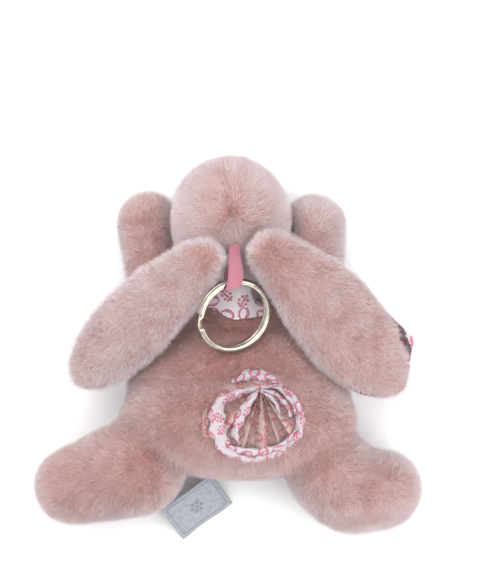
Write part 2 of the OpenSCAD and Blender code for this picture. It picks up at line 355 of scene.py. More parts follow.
def nickel_material():
    n = Nodes("nickel_plate")
    at = n.position()
    fine = n.noise(at, 500, 4)
    n.bump(n.noise(at, 260, 2), 0.00004, 0.4)
    return n.set(
        Base_Color=n.ramp(fine, (0.3, srgb(176, 168, 154)), (0.7, srgb(206, 199, 186))),
        Metallic=1.0,
        Roughness=n.maths("MULTIPLY_ADD", fine, 0.1, 0.05),
    )


def label_material():
    n = Nodes("woven_label")
    uv = n.add("ShaderNodeTexCoord").outputs["UV"]
    xy = n.add("ShaderNodeSeparateXYZ", {"Vector": uv})
    # UVs run in millimetres from the label's corner
    line = 0.0
    for socket, size in ((xy.outputs[0], LABEL_SIZE[0]), (xy.outputs[1], LABEL_SIZE[1])):
        edge = n.maths("SUBTRACT", size / 2, n.maths("ABSOLUTE", n.maths("SUBTRACT", socket, size / 2)))
        near = n.maths("LESS_THAN", n.maths("ABSOLUTE", n.maths("SUBTRACT", edge, 1.7)), 0.22)
        inside = n.maths("GREATER_THAN", edge, 1.45)
        line = (near, inside) if line == 0.0 else (
            n.maths("MAXIMUM", n.maths("MULTIPLY", line[0], inside), n.maths("MULTIPLY", near, line[1])),
        )
    # A plain daisy in the middle
    x = n.maths("SUBTRACT", xy.outputs[0], LABEL_SIZE[0] / 2)
    y = n.maths("SUBTRACT", xy.outputs[1], LABEL_SIZE[1] / 2)
    daisy = motif_circle(n, x, y, 0, 0, 0.8)
    for k in range(6):
        a = math.radians(60 * k)
        daisy = n.maths("MAXIMUM", daisy, motif_circle(n, x, y, 2.1 * math.cos(a), 2.1 * math.sin(a), 0.85))
    threads = n.add("ShaderNodeTexWave", {"Vector": uv, "Scale": 1.6}, bands_direction="Y").outputs["Fac"]
    satin = n.noise(uv, 0.5, 3)
    ground = n.ramp(satin, (0.3, srgb(142, 147, 155)), (0.7, srgb(162, 167, 174)))
    n.bump(threads, 0.00008, 0.6)
    woven_in = n.maths("MAXIMUM", n.maths("MULTIPLY", line[0], 0.8), n.maths("MULTIPLY", daisy, 0.7))
    return n.set(
        Base_Color=n.mix(woven_in, ground, srgb(110, 112, 124)),
        Roughness=0.5,
        Sheen_Weight=0.2,
    )


def thread_material(name, dark, light):
    """Satin-stitch embroidery."""
    n = Nodes(name)
    stitches = n.add(
        "ShaderNodeTexWave",
        {"Vector": n.position(), "Scale": 700.0, "Distortion": 1.5, "Detail": 2.0},
        bands_direction="X",
    ).outputs["Fac"]
    n.bump(stitches, 0.0002, 0.9)
    return n.set(
        # The hollows between stitches are coloured darker than the stitches: painted shade, on top of the
        # stitch bump.
        Base_Color=n.ramp(stitches, (0.1, dark), (0.8, light)),
        Roughness=0.7,
        Specular_IOR_Level=0.2,
    )


# ---------------------------------------------------------------- soft skins
def biggest_part(bm):
    """Deletes every loose part of the mesh but the one with the most vertices."""
    left, parts = set(bm.verts), []
    while left:
        seed = left.pop()
        part, edge = [seed], [seed]
        while edge:
            v = edge.pop()
            for e in v.link_edges:
                w = e.other_vert(v)
                if w in left:
                    left.remove(w)
                    part.append(w)
                    edge.append(w)
        parts.append(part)
    parts.sort(key=len)
    bmesh.ops.delete(bm, geom=[v for part in parts[:-1] for v in part], context="VERTS")


def form(name, nodes, hulled=(), voxel=1.1 * MM, relax=8, offset=-1.6 * MM):
    """The outer surface of some CAD nodes as one closed, softened mesh, moved by offset."""
    bm = bmesh.new()
    for node in nodes:
        bm.from_mesh(NODES[node].data)
    for group in hulled:
        one = bmesh.new()
        for node in group:
            for v in NODES[node].data.vertices:
                one.verts.new(v.co)
        bmesh.ops.convex_hull(one, input=one.verts)
        bmesh.ops.delete(one, geom=[v for v in one.verts if not v.link_faces], context="VERTS")
        part = bpy.data.meshes.new("part")
        one.to_mesh(part)
        one.free()
        bm.from_mesh(part)
    me = bpy.data.meshes.new(name)
    bm.to_mesh(me)
    bm.free()
    obj = new_object(name, me)
    m = obj.modifiers.new("remesh", "REMESH")
    m.mode, m.voxel_size = "VOXEL", voxel
    applied(obj)
    bm = bmesh.new()
    bm.from_mesh(obj.data)
    biggest_part(bm)
    bm.to_mesh(obj.data)
    bm.free()
    m = obj.modifiers.new("relax", "SMOOTH")
    m.factor, m.iterations = 0.5, relax
    m = obj.modifiers.new("inset", "DISPLACE")
    m.mid_level, m.strength = 0.0, offset
    m = obj.modifiers.new("settle", "SMOOTH")
    m.factor, m.iterations = 0.5, 4
    return applied(obj)


def finished_skin(obj, shape):
    """Shapes a form, lays it on the table and gives it the plush ground."""
    set_coords(obj, shape(coords(obj), normals(obj)))
    co = coords(obj)
    co[:, 2] = np.maximum(co[:, 2], 0.3 * MM)
    set_coords(obj, co)
    smooth(obj)
    obj.data.materials.clear()
    obj.data.materials.append(GROUND)
    return obj


def part_of(obj, name, faces):
    """A new object with only the named faces of another."""
    new = new_object(name, obj.data.copy())
    bm = bmesh.new()
    bm.from_mesh(new.data)
    bm.faces.ensure_lookup_table()
    bmesh.ops.delete(bm, geom=[f for f, keep in zip(bm.faces, faces) if not keep], context="FACES")
    bm.to_mesh(new.data)
    bm.free()
    return new


def tree_of(nodes):
    bm = bmesh.new()
    for node in nodes:
        bm.from_mesh(NODES[node].data)
    tree = BVHTree.FromBMesh(bm)
    bm.free()
    return tree


def open_edge(obj):
    """The vertices round a mesh's open edge."""
    bm = bmesh.new()
    bm.from_mesh(obj.data)
    out = np.array([v.co for v in bm.verts if v.is_boundary])
    bm.free()
    return out


def lumpy(co, no, cell, amount, seed):
    return co + no * (noise(co, cell, seed) * amount)[:, None]


def groove(co, no, distance, width, depth):
    """Pulls the surface in along a seam, given each point's distance from it."""
    return co - no * (np.exp(-((distance / width) ** 2)) * depth)[:, None]


# ---------------------------------------------------------------- fur
def sample(obj, density, rng, keep=None):
    """Random points on a mesh: positions and smooth normals."""
    me = obj.data
    me.calc_loop_triangles()
    tri = np.empty(len(me.loop_triangles) * 3, np.int64)
    me.loop_triangles.foreach_get("vertices", tri)
    tri = tri.reshape(-1, 3)
    co, no = coords(obj), normals(obj)
    a, b, c = co[tri[:, 0]], co[tri[:, 1]], co[tri[:, 2]]
    area = np.linalg.norm(np.cross(b - a, c - a), axis=1) / 2
    n = int(area.sum() * density)
    pick = rng.choice(len(tri), n, p=area / area.sum())
    u, v = rng.random(n), rng.random(n)
    flip = u + v > 1
    u[flip], v[flip] = 1 - u[flip], 1 - v[flip]
    w = 1 - u - v
    t = tri[pick]
    p = co[t[:, 0]] * w[:, None] + co[t[:, 1]] * u[:, None] + co[t[:, 2]] * v[:, None]
    q = unit(no[t[:, 0]] * w[:, None] + no[t[:, 1]] * u[:, None] + no[t[:, 2]] * v[:, None])
    if keep is not None:
        ok = rng.random(n) < keep(p, q)
        p, q = p[ok], q[ok]
    return p, q


BLADE_HALF = 0.008 * MM  # from a blade's middle to each of its faces
SKY = np.array([0, 0, 1.0])  # the fibres' shading normals lean up, to lighten the sides of the toy


def fur(name, base, comb, density=13.5e6, length=3.6 * MM, width=0.145 * MM, lean=0.3,
        keep=None, trim=None, tone=None, seed=1):
    """Fibres standing on a skin, leaning along comb(points), as one mesh of thin blades."""
    rng = np.random.default_rng(seed)
    p, q = sample(base, density, rng, keep)
    n = len(p)
    flow = comb(p)
    flow = flow - q * (flow * q).sum(1, keepdims=True)
    pull = np.minimum(np.linalg.norm(flow, axis=1), 2.5)
    side = unit(np.cross(q, unit(flow) + 1e-6))
    tuft = noise(p, 3.2 * MM, seed)
    swirl = noise(p, 6.5 * MM, seed + 5)
    turn = 0.8 * swirl + rng.normal(0, 0.6, n)
    along = unit(flow) * np.cos(turn)[:, None] + side * np.sin(turn)[:, None]
    tilt = np.clip(lean * pull + 0.22 * tuft + rng.normal(0, 0.18, n), 0.03, 1.2)
    way = unit(q * np.cos(tilt)[:, None] + along * np.sin(tilt)[:, None])
    rise = rng.random(n)
    size = length * (0.55 + 0.5 * rise ** 0.7) * (1 + 0.12 * noise(p, 9 * MM, seed + 9))
    if trim is not None:
        size = size * trim(p)
    across = unit(np.cross(way, q) + 1e-9)
    roll = rng.uniform(-1.0, 1.0, n)
    across = unit(across * np.cos(roll)[:, None] + np.cross(way, across) * np.sin(roll)[:, None])
    half = across * (width * rng.uniform(0.35, 0.65, n))[:, None]
    root = p - q * 0.25 * MM
    tip = root + way * size[:, None]
    tip[:, 2] = np.maximum(tip[:, 2], 0.1 * MM)
    # Each blade has two faces back to back
    apart = unit(np.cross(half, tip - root)) * BLADE_HALF
    front = [root - half + apart, root + half + apart, tip + apart]
    back = [root + half - apart, root - half - apart, tip - apart]
    verts = np.stack(front + back, 1).reshape(-1, 3)
    me = bpy.data.meshes.new(name)
    me.vertices.add(6 * n)
    me.vertices.foreach_set("co", verts.ravel())
    me.loops.add(6 * n)
    me.loops.foreach_set("vertex_index", np.arange(6 * n))
    me.polygons.add(2 * n)
    me.polygons.foreach_set("loop_start", np.arange(0, 6 * n, 3))
    # Longer fibres (higher rise) get paler tones and short ones deeper: painted shade of the pile's depth,
    # since each blade has one colour. The noise and tuft terms are the fur's own random tone.
    value = 0.86 + 0.42 * (rise - 0.5) + 0.09 * noise(p, 11 * MM, 3) + 0.1 * tuft + rng.normal(0, 0.1, n)
    # Fibres on skin that faces up get deeper tones and those on the toy's sides paler: painted light, a pale
    # glow round the sides as if light passed through the fur.
    value = value - 0.36 * np.clip(q[:, 2], 0, 1) ** 1.3
    if tone is not None:
        value = value + tone(p)
    index = np.clip((value * TONES).astype(int), 0, TONES - 1)
    me.polygons.foreach_set("material_index", np.repeat(index, 2).astype(np.int32))
    me.polygons.foreach_set("use_smooth", np.ones(2 * n, bool))
    me.update(calc_edges=True)
    me.validate()
    shade = unit(q * 0.55 + way * 0.3 + SKY * 0.85 + rng.normal(0, 0.12, (n, 3)))
    me.normals_split_custom_set_from_vertices(np.repeat(shade, 6, 0).tolist())
    obj = new_object(name, me, *FIBRES)
    return obj


def away_from(*xyz):
    c = vec(*xyz)
    return lambda p: unit(p - c)


def towards(*d):
    d = unit(d)
    return lambda p: np.broadcast_to(d, p.shape).copy()


# ---------------------------------------------------------------- camera, light, floor
def camera():
    cam = bpy.data.cameras.new("camera")
    cam.sensor_fit, cam.sensor_height, cam.sensor_width = "VERTICAL", 24.0, 24.0
    cam.lens = 72.4
    obj = bpy.data.objects.new("camera", cam)
    COLL.objects.link(obj)
    aim, distance, rise = Vector((0.0048, 0.0232, 0.0268)), 0.700, math.radians(85)
    obj.location = aim + distance * Vector((0, -math.cos(rise), math.sin(rise)))
    obj.rotation_euler = (aim - obj.location).to_track_quat("-Z", "Y").to_euler()
    bpy.context.scene.camera = obj


def area_light(name, at, aim, size, power, colour=(1, 1, 1)):
    light = bpy.data.lights.new(name, "AREA")
    light.shape, light.size, light.energy, light.color = "SQUARE", size, power, colour
    obj = bpy.data.objects.new(name, light)
    obj.location = at
    obj.rotation_euler = (Vector(aim) - Vector(at)).to_track_quat("-Z", "Y").to_euler()
    COLL.objects.link(obj)


# How bright the surroundings are from the horizon (0) to straight up (1)
SKY_BANDS = ((0.0, 3.0), (0.2, 2.6), (0.36, 0.8), (0.6, 0.66), (0.74, 1.28))
FLOOR_HALF = 3.0


def studio():
    bpy.context.scene.view_settings.view_transform = "Standard"
    world = bpy.data.worlds.new("studio")
    bpy.context.scene.world = world
    world.use_nodes = True
    tree = world.node_tree
    bg = tree.nodes["Background"]
    up = tree.nodes.new("ShaderNodeSeparateXYZ")
    tree.links.new(tree.nodes.new("ShaderNodeTexCoord").outputs["Generated"], up.inputs[0])
    bands = tree.nodes.new("ShaderNodeValToRGB")
    tree.links.new(up.outputs["Z"], bands.inputs["Fac"])
    el = bands.color_ramp.elements
    for _ in range(3):
        el.new(0.5)
    for e, (pos, grey) in zip(el, SKY_BANDS):
        e.position, e.color = pos, (grey * 0.99, grey * 0.99, grey, 1)
    tree.links.new(bands.outputs["Color"], bg.inputs["Color"])
    bg.inputs["Strength"].default_value = 1.0
    area_light("key", (-0.3, 0.42, 0.85), (0, 0.02, 0.02), 0.8, 4.5)
    area_light("fill", (0.6, -0.35, 0.8), (0, 0, 0.02), 0.8, 3.6)
    n = Nodes("pale_floor")
    tone = n.noise(n.position(), 4, 2)
    pale = n.ramp(tone, (0.3, (0.93, 0.93, 0.93)), (0.7, (0.95, 0.95, 0.95)))
    floor_mat = n.set(Base_Color=pale, Roughness=0.9)
    s = FLOOR_HALF
    corners = [(-s, -s, 0), (s, -s, 0), (s, s, 0), (-s, s, 0)]
    floor = new_object("floor", mesh_from("floor", corners, [(0, 1, 2, 3)]), floor_mat)


# ---------------------------------------------------------------- the rabbit's parts
LABEL_SIZE = (25.0, 18.0)
RING_C = vec(2.4, 11.6, 46.6)
RING_X, RING_Y = unit([0.678, 0.732, 0.064]), unit([-0.627, 0.531, 0.569])
RING_Z = unit(np.cross(RING_X, RING_Y))
RIBBON_AT = math.radians(48.7)
WIRE_R, WIRE_W, WIRE_H = 14 * MM, 2.0 * MM, 1.6 * MM
STRAP_ROOT = vec(2.8, 37.6, 51)


def put_uv(me, per_vertex):
    """Gives each corner of a mesh its vertex's place on the flat cloth, in millimetres."""
    layer = me.uv_layers.new(name="cloth")
    loops = np.empty(len(me.loops), np.int64)
    me.loops.foreach_get("vertex_index", loops)
    layer.data.foreach_set("uv", np.asarray(per_vertex, float)[loops].ravel())


def bar_faces(n, m):
    """Faces of a closed bar: n rings of m points, with an end cap on each."""
    faces = [
        (k * m + i, k * m + (i + 1) % m, (k + 1) * m + (i + 1) % m, (k + 1) * m + i)
        for k in range(n - 1)
        for i in range(m)
    ]
    return faces + [tuple(range(m))[::-1], tuple((n - 1) * m + i for i in range(m))]


def facing_out(me):
    bm = bmesh.new()
    bm.from_mesh(me)
    bmesh.ops.recalc_face_normals(bm, faces=bm.faces)
    bm.to_mesh(me)
    bm.free()
    return me


def split_ring():
    """Two turns of flattened wire in one path, stepping down beside the split."""
    step, a0 = math.radians(24), math.radians(150)
    turn = 2 * math.pi - step
    count = 260
    centres, sides, ups = [], [], []
    total = 2 * turn + step
    for k in range(count + 1):
        t = total * k / count
        z = WIRE_H * 0.5 + 0.02 * MM
        z = z - 2 * z * float(smoothstep(turn, turn + step, t))
        a = a0 + t
        out = RING_X * math.cos(a) + RING_Y * math.sin(a)
        centres.append(RING_C + out * WIRE_R + RING_Z * z)
        sides.append(out)
        ups.append(RING_Z)
    section = []
    for i in range(20):
        a = 2 * math.pi * i / 20
        section.append((
            WIRE_W / 2 * math.copysign(abs(math.cos(a)) ** 0.62, math.cos(a)),
            WIRE_H / 2 * math.copysign(abs(math.sin(a)) ** 0.62, math.sin(a)),
        ))
    verts = [c + s * x + u * y for c, s, u in zip(centres, sides, ups) for x, y in section]
    me = facing_out(mesh_from("split_ring_wire", verts, bar_faces(len(centres), len(section))))
    obj = smooth(new_object("split_ring_wire", me, nickel_material()))
    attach(obj, "ring")
    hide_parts("split_ring")


def ribbon():
    """One loop of grosgrain: down from the crown seam, round the ring's wire and back under."""
    out = RING_X * math.cos(RIBBON_AT) + RING_Y * math.sin(RIBBON_AT)
    fold_c = RING_C + out * WIRE_R
    axis = -RING_X * math.sin(RIBBON_AT) + RING_Y * math.cos(RIBBON_AT)
    to_root = unit(STRAP_ROOT - fold_c)
    up = unit(np.cross(axis, to_root))
    if up[2] < 0:
        up = -up
    r = 2.75 * MM
    length = np.linalg.norm(STRAP_ROOT - fold_c) + 1.5 * MM
    pts, outs, widths = [], [], []
    for k in range(14):
        t = 1 - k / 13
        lift = r * float(smoothstep(0.75, 0.1, t)) + 0.35 * MM
        pts.append(fold_c + to_root * (length * t) + up * lift)
        outs.append(up)
        widths.append(5.0 + 1.4 * (1 - t))
    for k in range(1, 16):
        a = math.pi * k / 16
        d = up * math.cos(a) - to_root * math.sin(a)
        pts.append(fold_c + d * r)
        outs.append(d)
        widths.append(6.4)
    for k in range(14):
        t = k / 13
        lift = r * float(smoothstep(0.75, 0.1, t)) + 0.35 * MM
        pts.append(fold_c + to_root * (length * t) - up * lift)
        outs.append(-up)
        widths.append(6.4 - 1.4 * t)
    thick = 0.5 * MM
    section_n = 5
    verts, uvs, run = [], [], 0.0
    for i, (p, d, w) in enumerate(zip(pts, outs, widths)):
        if i:
            run += np.linalg.norm(np.asarray(p) - pts[i - 1])
        for s in (1, -1):
            for j in range(section_n):
                x = (j / (section_n - 1) - 0.5) * (1 if s == 1 else -1)
                verts.append(p + axis * (x * w * MM) + d * (s * thick / 2))
                uvs.append((run / MM * 0.36 + x * w * 0.3, x * w))
    me = mesh_from("ribbon_loop", verts, bar_faces(len(pts), 2 * section_n))
    put_uv(me, uvs)
    obj = smooth(new_object("ribbon_loop", facing_out(me), ribbon_material()))
    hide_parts("ribbon_strap", "ribbon_fold")
    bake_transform(obj)


def label():
    """The woven label, hanging in a slight wave from its sewn edge."""
    c, turn, slope = vec(-7, -50.3, 11), math.radians(216), math.radians(36)
    ex = np.array([math.cos(turn), math.sin(turn), 0])
    ey = np.array([-math.sin(turn) * math.cos(slope), math.cos(turn) * math.cos(slope), -math.sin(slope)])
    ez = np.cross(ex, ey)
    nx, ny = 26, 19
    verts, uvs = [], []
    for side in (1, -1):
        for j in range(ny):
            for i in range(nx):
                x, y = LABEL_SIZE[0] * i / (nx - 1), LABEL_SIZE[1] * j / (ny - 1)
                wave = 0.35 * math.sin(x * 0.32) * (y / LABEL_SIZE[1]) + 0.25 * (y / LABEL_SIZE[1]) ** 2
                verts.append(c + (ex * x + ey * y + ez * (wave + side * 0.12)) * MM)
                uvs.append((x, y))
    faces = []
    n = nx * ny
    for j in range(ny - 1):
        for i in range(nx - 1):
            a = j * nx + i
            faces.append((a, a + 1, a + nx + 1, a + nx))
            faces.append((n + a, n + a + nx, n + a + nx + 1, n + a + 1))
    rim = [i for i in range(nx)] + [j * nx + nx - 1 for j in range(1, ny)]
    rim += [(ny - 1) * nx + i for i in range(nx - 2, -1, -1)] + [j * nx for j in range(ny - 2, 0, -1)]
    for a, b in zip(rim, rim[1:] + rim[:1]):
        faces.append((a, n + a, n + b, b))
    me = mesh_from("label_cloth", verts, faces)
    put_uv(me, uvs)
    obj = smooth(new_object("label_cloth", me, label_material()))
    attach(obj, "label")
    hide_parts("label")


def thickened(obj, thickness, outward=1.0):
    """Gives a cloth its thickness and returns its area beforehand."""
    area = sum(p.area for p in obj.data.polygons)
    m = obj.modifiers.new("thick", "SOLIDIFY")
    m.thickness, m.offset = thickness, outward
    applied(obj)
    smooth(obj)
    return area


def grid_faces(rows, columns):
    corners = [j * columns + i for j in range(rows - 1) for i in range(columns - 1)]
    return [(a, a + 1, a + columns + 1, a + columns) for a in corners]


def collar_edge(x):
    """The collar's hem across the back, y against x in millimetres: lowest behind the ring."""
    u = (x - 5.5) / 19.0
    return 10.8 + 11.5 * np.abs(u) ** 2.1 + 0.35 * np.sin(9 * u)


def collar(body_skin):
    """A cotton yoke that lies over the shoulders behind the neck."""
    tree = BVHTree.FromObject(body_skin, bpy.context.evaluated_depsgraph_get())
    nx, ny = 71, 41
    verts, uvs = [], []
    for j in range(ny):
        v = j / (ny - 1)
        for i in range(nx):
            u = i / (nx - 1) * 2 - 1
            x = 5.0 + 19.0 * u
            edge = float(collar_edge(x))
            y = edge + (26.5 - edge) * v
            hit = tree.ray_cast(Vector((x * MM, y * MM, 0.08)), Vector((0, 0, -1)))[0]
            z = hit.z / MM if hit else 12
            fold = 0.55 * math.sin(11 * u + 2.0 * v) * v + 0.4 * math.sin(6 * u + 1)
            hem = 1.1 * math.exp(-v * 9)
            verts.append((x * MM, y * MM, (z + 2.2 + fold * 0.7 + hem) * MM))
            uvs.append((x * 1.1 + 1.3, y * 1.1 + 0.6))
    me = mesh_from("collar_cloth", verts, grid_faces(ny, nx))
    put_uv(me, uvs)
    # A lighter copy of the printed cotton: painted light against the shade of the ears and ring.
    obj = new_object("collar_cloth", me, PRINT_PAINTED_LIGHTER)
    m = obj.modifiers.new("relax", "SMOOTH")
    m.iterations = 3
    applied(obj)
    area = thickened(obj, 0.35 * MM)
    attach(obj, "torso")
    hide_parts("collar")


# Where each pleat of the rosette crests, in degrees round its knot from straight down, and how high
PLEATS = (
    (-150, 0.2), (-70, 0.5), (-44, 0.7), (-18, 0.5), (4, 1.0),
    (20, 0.7), (36, 1.0), (58, 0.6), (110, 0.2), (210, 0.2),
)
# Folded bands laid round and over the pleats, lowest first. Each has its course (x, y), its
# widths and heights in millimetres along it, and which side its fold leans to
BANDS = (
    (((-17, 6), (-19.5, 0), (-18.5, -5), (-14, -6)),
     (1, 4, 5, 1), (1.0, 1.8, 1.6, 1.0), 0.0),
    (((-9, 14), (-2, 17), (6, 16), (11, 13)),
     (2, 5, 4.5, 2), (3.0, 4.0, 4.2, 3.0), 0.2),
    (((9, 12.5), (14.5, 8), (17.5, 1), (16.5, -6), (12, -11)),
     (2.5, 4, 4.2, 4, 2.5), (3.5, 4.6, 5.0, 4.6, 3.6), -0.3),
    (((15, -8), (8, -14.5), (0, -17), (-8, -15), (-14, -10)),
     (3, 4.6, 5.2, 4.6, 3), (3, 4.0, 4.4, 4.2, 3.2), 0.3),
    (((16.5, -4.5), (10, -11), (1, -13), (-8, -12), (-15, -7)),
     (2, 3, 3.2, 3, 2), (4.6, 5.6, 5.6, 5.6, 5.0), 0.5),
    (((1.5, 11.5), (-6, 9.8), (-12.5, 7), (-15.8, 3)),
     (2, 3, 3.8, 3), (6.4, 6.4, 6.2, 5.6), 0.3),
    (((-12.5, 8), (-14.5, 2), (-14.2, -5), (-11.5, -11.5), (-7, -14)),
     (3, 6.6, 7.2, 5.6, 2.5), (5.4, 6.6, 6.8, 6.2, 4.6), 0.35),
    (((2.4, 11.8), (8.5, 12.2), (13.6, 7.2), (15.8, 2.5)),
     (1.6, 2.2, 2.2, 1.8), (6.2, 6.0, 5.8, 5.0), 0.2),
    (((2.2, 11.2), (7.4, 9.6), (12.2, 5.4), (13.8, 0.5)),
     (1.6, 2.3, 2.3, 1.8), (6.4, 6.2, 5.8, 4.6), 0.2),
    (((2.0, 10.6), (5.6, 8.6), (8.6, 5.0), (9.4, 1.0)),
     (1.5, 2.2, 2.3, 1.2), (6.6, 6.0, 5.2, 3.8), 0.2),
    (((1.4, 11.2), (-1.6, 7.2), (-5.2, 1.2), (-8.0, -5.6), (-6.0, -10.6)),
     (2.0, 3.4, 4.6, 3.4, 1.8), (6.8, 6.8, 6.2, 5.6, 4.6), -0.4),
)


TURN = 0.22  # how roundly the folded cloth turns its corners


def along(points, t):
    """A smooth curve through evenly spaced control values, at t from 0 to 1."""
    pts = np.asarray(points, float)
    f = t * (len(pts) - 1)
    k = min(int(f), len(pts) - 2)
    a, b = pts[k], pts[k + 1]
    before, after = pts[max(k - 1, 0)], pts[min(k + 2, len(pts) - 1)]
    u = f - k
    return (
        a * (2 * u**3 - 3 * u**2 + 1) + b * (3 * u**2 - 2 * u**3)
        + (b - before) * TURN * (u**3 - 2 * u**2 + u) + (after - a) * TURN * (u**3 - u**2)
    )


def band(course, widths, heights, lean, index):
    """One folded band of the rosette: an arched strip whose crest leans to one side."""
    steps, across = 46, 15
    verts, uvs, run, last = [], [], 0.0, None
    for i in range(steps):
        t = i / (steps - 1)
        p = along(course, t)
        ahead = along(course, min(t + 0.01, 1.0)) - along(course, max(t - 0.01, 0.0))
        side = unit(np.array([-ahead[1], ahead[0]]))
        w, h = float(along(widths, t)), float(along(heights, t))
        run += 0.0 if last is None else float(np.linalg.norm(p - last))
        last = p
        for j in range(across):
            u = j / (across - 1) * 2 - 1
            bend = u + lean * (1 - u * u)
            arch = (1 - abs(bend) ** 1.5) ** 0.75 if abs(bend) < 1 else 0.0
            crease = 0.6 * math.sin(run * 0.8 + 2.4 * u + index)
            crease += 0.35 * math.sin(run * 1.9 - 3.2 * u + 2 * index)
            z = max(0.0, h - 3.4) * min(1.0, 5 * (1 - abs(u))) + min(h, 3.4) * arch + crease * arch
            wide = w * (1 + 0.16 * math.sin(run * 1.1 + index))
            x, y = p + side * (u * wide / 2)
            verts.append((x, y, z))
            uvs.append((run * 1.15 + 11.3 * index, u * wide * 0.8 + 6.7 * index))
    return verts, uvs, grid_faces(steps, across)


def fan(knot, outline):
    """The cloth inside the rim: pleats that open from the knot."""
    rows, columns = 60, 300
    verts, uvs = [], []
    for i in range(columns):
        phi = -180 + 360 * i / columns
        way = np.array([math.sin(math.radians(phi)), -math.cos(math.radians(phi))])
        near, far = 0.0, 40.0
        for _ in range(24):
            mid = (near + far) / 2
            q = knot + way * mid
            inside = math.hypot(*q) < outline(math.atan2(q[1], q[0]))
            near, far = (mid, far) if inside else (near, mid)
        bent = phi + 5 * math.sin(math.radians(phi * 2.0))
        k = max((j for j, (a, _) in enumerate(PLEATS) if a <= bent), default=0)
        (a0, h0), (a1, h1) = PLEATS[k], PLEATS[min(k + 1, len(PLEATS) - 1)]
        t = float(np.clip((bent - a0) / max(a1 - a0, 1), 0, 1))
        ramp, crest = (t, h1) if bent < 4 else (1 - t, h0)
        pleat = crest * (ramp ** 1.6 - 0.3 * math.sin(math.pi * ramp))
        for j in range(rows):
            d = j / (rows - 1) * near
            z = 0.4 + 5.2 * pleat * min(1.0, d / 6.0) + 3.2 * math.exp(-((d / 4.0) ** 2))
            z += 0.3 * math.sin(d * 0.8 + k) * min(1, d / 5)
            z *= float(smoothstep(1.0, 0.9, j / (rows - 1)))
            x, y = knot + way * d
            verts.append((x, y, z))
            uvs.append((x * 1.15 + 7.3 * (k + 2), y * 1.15 + 2.1 * (k + 2)))
    faces = [
        (i * rows + j, ((i + 1) % columns) * rows + j, ((i + 1) % columns) * rows + j + 1, i * rows + j + 1)
        for i in range(columns)
        for j in range(rows - 1)
    ]
    return verts, uvs, faces


SUNK = 0.4  # the rosette sits among the fibres, just above the knitted ground


def rosette(body_skin):
    """The tail: printed cotton gathered to a knot near its top, with folded bands round its pleats."""
    lo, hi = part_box("tail_outer_fold")
    c = (np.array(lo) + np.array(hi)) / 2 / MM
    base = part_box("tail_base")[0][2] / MM
    rise = (hi[2] / MM - base) / 8.0

    tree = BVHTree.FromObject(body_skin, bpy.context.evaluated_depsgraph_get())

    def ground(x, y):
        """Height of the back under a point of the rosette, in millimetres."""
        hit = tree.ray_cast(Vector(((c[0] + x) * MM, (c[1] + y) * MM, 0.09)), Vector((0, 0, -1)))[0]
        return hit.z / MM if hit else base

    spots = [-21, -14, -7, 0, 7, 14, 21]
    table = np.array([[ground(x, y) for x in spots] for y in spots])

    def height(x, y):
        """The same from a table of a few heights, so the cloth spans small dips."""
        fx, fy = np.clip((x + 21) / 7, 0, 5.999), np.clip((y + 21) / 7, 0, 5.999)
        i, j = int(fx), int(fy)
        u, v = fx - i, fy - j
        return ((table[j, i] * (1 - u) + table[j, i + 1] * u) * (1 - v)
                + (table[j + 1, i] * (1 - u) + table[j + 1, i + 1] * u) * v)

    def outline(a):
        return 17.4 * (1 + 0.035 * math.sin(5 * a + 0.6) + 0.022 * math.sin(8 * a + 2))

    parts = [fan(np.array([2.2, 11.4]), outline)]
    parts += [band(*b, index=k) for k, b in enumerate(BANDS)]
    verts, uvs, faces, slots = [], [], [], []
    for k, (v, t, f) in enumerate(parts):
        start = len(verts)
        verts += [((c[0] + x) * MM, (c[1] + y) * MM, (height(x, y) + SUNK + z * rise) * MM) for x, y, z in v]
        uvs += t
        faces += [tuple(i + start for i in face) for face in f]
        slots += [1 if k < 2 else 0] * len(f)
    me = mesh_from("tail_rosette", verts, faces)
    put_uv(me, uvs)
    obj = new_object("tail_rosette", me, PRINT, PRINT_CREAM)
    me.polygons.foreach_set("material_index", slots)
    bm = bmesh.new()
    bm.from_mesh(me)
    bmesh.ops.remove_doubles(bm, verts=bm.verts, dist=1e-6)
    bmesh.ops.recalc_face_normals(bm, faces=bm.faces)
    for f in bm.faces:
        if f.normal.z < -0.05:
            f.normal_flip()
    bm.to_mesh(me)
    bm.free()
    area = thickened(obj, 0.25 * MM, -1.0)
    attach(obj, "torso")
    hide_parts("tail_base", "tail_core", "tail_inner_fold", "tail_outer_fold")


def lining(name, skin):
    """Printed cotton on the ear's underside, stretched over the same padding as its fur."""
    centres = np.array([p.center for p in skin.data.polygons])
    up = np.array([p.normal.z for p in skin.data.polygons])
    obj = part_of(skin, name + "_cloth", up <= lining_edge(name, centres) + 0.06)
    co = coords(obj) + normals(obj) * 1.3 * MM
    if name == "right_ear":
        at, way, reach, height = PUFF
        co = co + way * (np.exp(-((co[:, :2] - at[:2]) ** 2).sum(1) / reach ** 2) * height)[:, None]
    set_coords(obj, co)
    put_uv(obj.data, co[:, :2] / MM * 1.05)
    obj.data.materials.clear()
    obj.data.materials.append(PRINT)
    area = thickened(obj, 0.3 * MM, 1.0)
    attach(obj, name)


# ---------------------------------------------------------------- the shapes of the soft parts
EAR_ROOTS = {"left_ear": vec(-4, 35.5, 53), "right_ear": vec(11.5, 38.5, 53)}
# The right ear is fuller on its outer side: place, direction, reach along the ear, amount
FULLER = (vec(43, 8, 38), unit([0.66, 0.75, 0]), 30 * MM, 3.2 * MM)
BODY_NODES = ["body_back_panel", "body_belly_panel", "body_stuffing"]
LEG_NODES = {leg: [leg + "_cover", leg + "_stuffing"] for leg in ("left_leg", "right_leg")}
# Each leg's hip and foot, on the table
HIPS = {
    "left_leg": (vec(-37, -47, 0), vec(-62.6, -54.8, 0)),
    "right_leg": (vec(41.5, -49.5, 0), vec(62.2, -56.2, 0)),
}


def limb_shape(seed):
    return lambda co, no: lumpy(co, no, 12 * MM, 0.4 * MM, seed)


